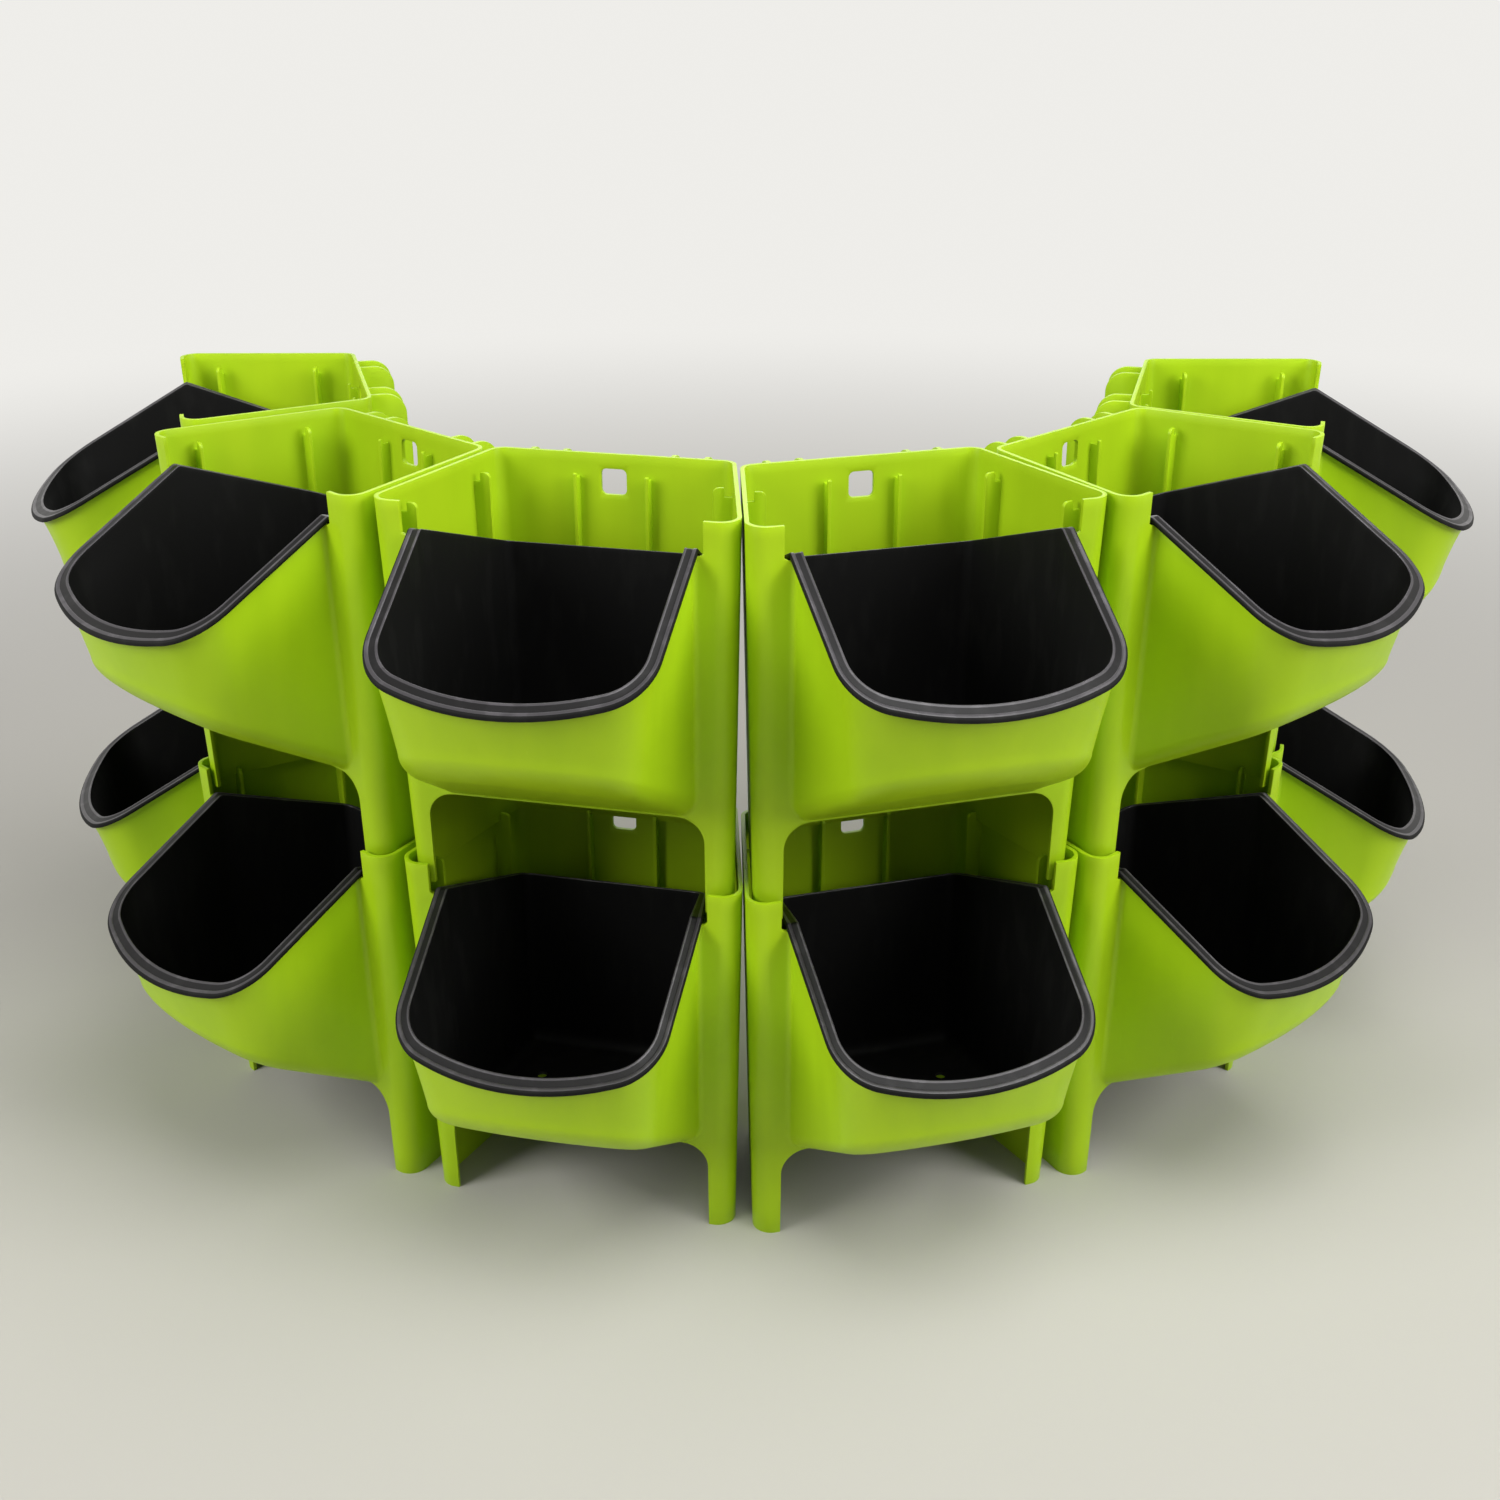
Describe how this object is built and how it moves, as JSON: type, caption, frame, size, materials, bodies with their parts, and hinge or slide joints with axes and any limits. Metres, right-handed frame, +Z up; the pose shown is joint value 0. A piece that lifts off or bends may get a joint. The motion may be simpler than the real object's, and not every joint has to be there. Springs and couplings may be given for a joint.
{
  "type": "stacking planter",
  "caption": "Half ring of stacked wedge-shaped planters with scooped fronts, each holding a loose dark liner pot, with hanging holes in the back walls.",
  "frame": {"origin": "middle of the whole half ring, on the floor under its lowest feet", "axes": "+Z up; the open side of the half ring, with the back walls, faces +Y, the middle scoops face -Y, and the row of columns runs along X"},
  "size_m": [0.8788, 0.4558, 0.4077],
  "materials": {
    "shell": "satin injection-moulded plastic, leaf green",
    "liner": "fine matt injection-moulded plastic, near black"
  },
  "bodies": {
    "lower_row": {"lower_shell_1": "shell", "lower_shell_2": "shell", "lower_shell_3": "shell", "lower_shell_4": "shell", "lower_shell_5": "shell", "lower_shell_6": "shell"},
    "lower_pot_1": {"lower_liner_1": "liner"},
    "upper_unit_1": {"upper_shell_1": "shell"},
    "upper_pot_1": {"upper_liner_1": "liner"},
    "lower_pot_2": {"lower_liner_2": "liner"},
    "upper_unit_2": {"upper_shell_2": "shell"},
    "upper_pot_2": {"upper_liner_2": "liner"},
    "lower_pot_3": {"lower_liner_3": "liner"},
    "upper_unit_3": {"upper_shell_3": "shell"},
    "upper_pot_3": {"upper_liner_3": "liner"},
    "lower_pot_4": {"lower_liner_4": "liner"},
    "upper_unit_4": {"upper_shell_4": "shell"},
    "upper_pot_4": {"upper_liner_4": "liner"},
    "lower_pot_5": {"lower_liner_5": "liner"},
    "upper_unit_5": {"upper_shell_5": "shell"},
    "upper_pot_5": {"upper_liner_5": "liner"},
    "lower_pot_6": {"lower_liner_6": "liner"},
    "upper_unit_6": {"upper_shell_6": "shell"},
    "upper_pot_6": {"upper_liner_6": "liner"}
  },
  "joints": [
    {"name": "lift_lower_pot_1", "type": "slide", "parent": "lower_row", "child": "lower_pot_1", "axis": [0, 0, 1], "range_m": [0, 0.015]},
    {"name": "lift_upper_unit_1", "type": "slide", "parent": "lower_row", "child": "upper_unit_1", "axis": [0, 0, 1], "range_m": [0, 0.06]},
    {"name": "lift_upper_pot_1", "type": "slide", "parent": "upper_unit_1", "child": "upper_pot_1", "axis": [0, 0, 1], "range_m": [0, 0.16]},
    {"name": "lift_lower_pot_2", "type": "slide", "parent": "lower_row", "child": "lower_pot_2", "axis": [0, 0, 1], "range_m": [0, 0.015]},
    {"name": "lift_upper_unit_2", "type": "slide", "parent": "lower_row", "child": "upper_unit_2", "axis": [0, 0, 1], "range_m": [0, 0.06]},
    {"name": "lift_upper_pot_2", "type": "slide", "parent": "upper_unit_2", "child": "upper_pot_2", "axis": [0, 0, 1], "range_m": [0, 0.16]},
    {"name": "lift_lower_pot_3", "type": "slide", "parent": "lower_row", "child": "lower_pot_3", "axis": [0, 0, 1], "range_m": [0, 0.015]},
    {"name": "lift_upper_unit_3", "type": "slide", "parent": "lower_row", "child": "upper_unit_3", "axis": [0, 0, 1], "range_m": [0, 0.06]},
    {"name": "lift_upper_pot_3", "type": "slide", "parent": "upper_unit_3", "child": "upper_pot_3", "axis": [0, 0, 1], "range_m": [0, 0.16]},
    {"name": "lift_lower_pot_4", "type": "slide", "parent": "lower_row", "child": "lower_pot_4", "axis": [0, 0, 1], "range_m": [0, 0.015]},
    {"name": "lift_upper_unit_4", "type": "slide", "parent": "lower_row", "child": "upper_unit_4", "axis": [0, 0, 1], "range_m": [0, 0.06]},
    {"name": "lift_upper_pot_4", "type": "slide", "parent": "upper_unit_4", "child": "upper_pot_4", "axis": [0, 0, 1], "range_m": [0, 0.16]},
    {"name": "lift_lower_pot_5", "type": "slide", "parent": "lower_row", "child": "lower_pot_5", "axis": [0, 0, 1], "range_m": [0, 0.015]},
    {"name": "lift_upper_unit_5", "type": "slide", "parent": "lower_row", "child": "upper_unit_5", "axis": [0, 0, 1], "range_m": [0, 0.06]},
    {"name": "lift_upper_pot_5", "type": "slide", "parent": "upper_unit_5", "child": "upper_pot_5", "axis": [0, 0, 1], "range_m": [0, 0.16]},
    {"name": "lift_lower_pot_6", "type": "slide", "parent": "lower_row", "child": "lower_pot_6", "axis": [0, 0, 1], "range_m": [0, 0.015]},
    {"name": "lift_upper_unit_6", "type": "slide", "parent": "lower_row", "child": "upper_unit_6", "axis": [0, 0, 1], "range_m": [0, 0.06]},
    {"name": "lift_upper_pot_6", "type": "slide", "parent": "upper_unit_6", "child": "upper_pot_6", "axis": [0, 0, 1], "range_m": [0, 0.16]}
  ]
}
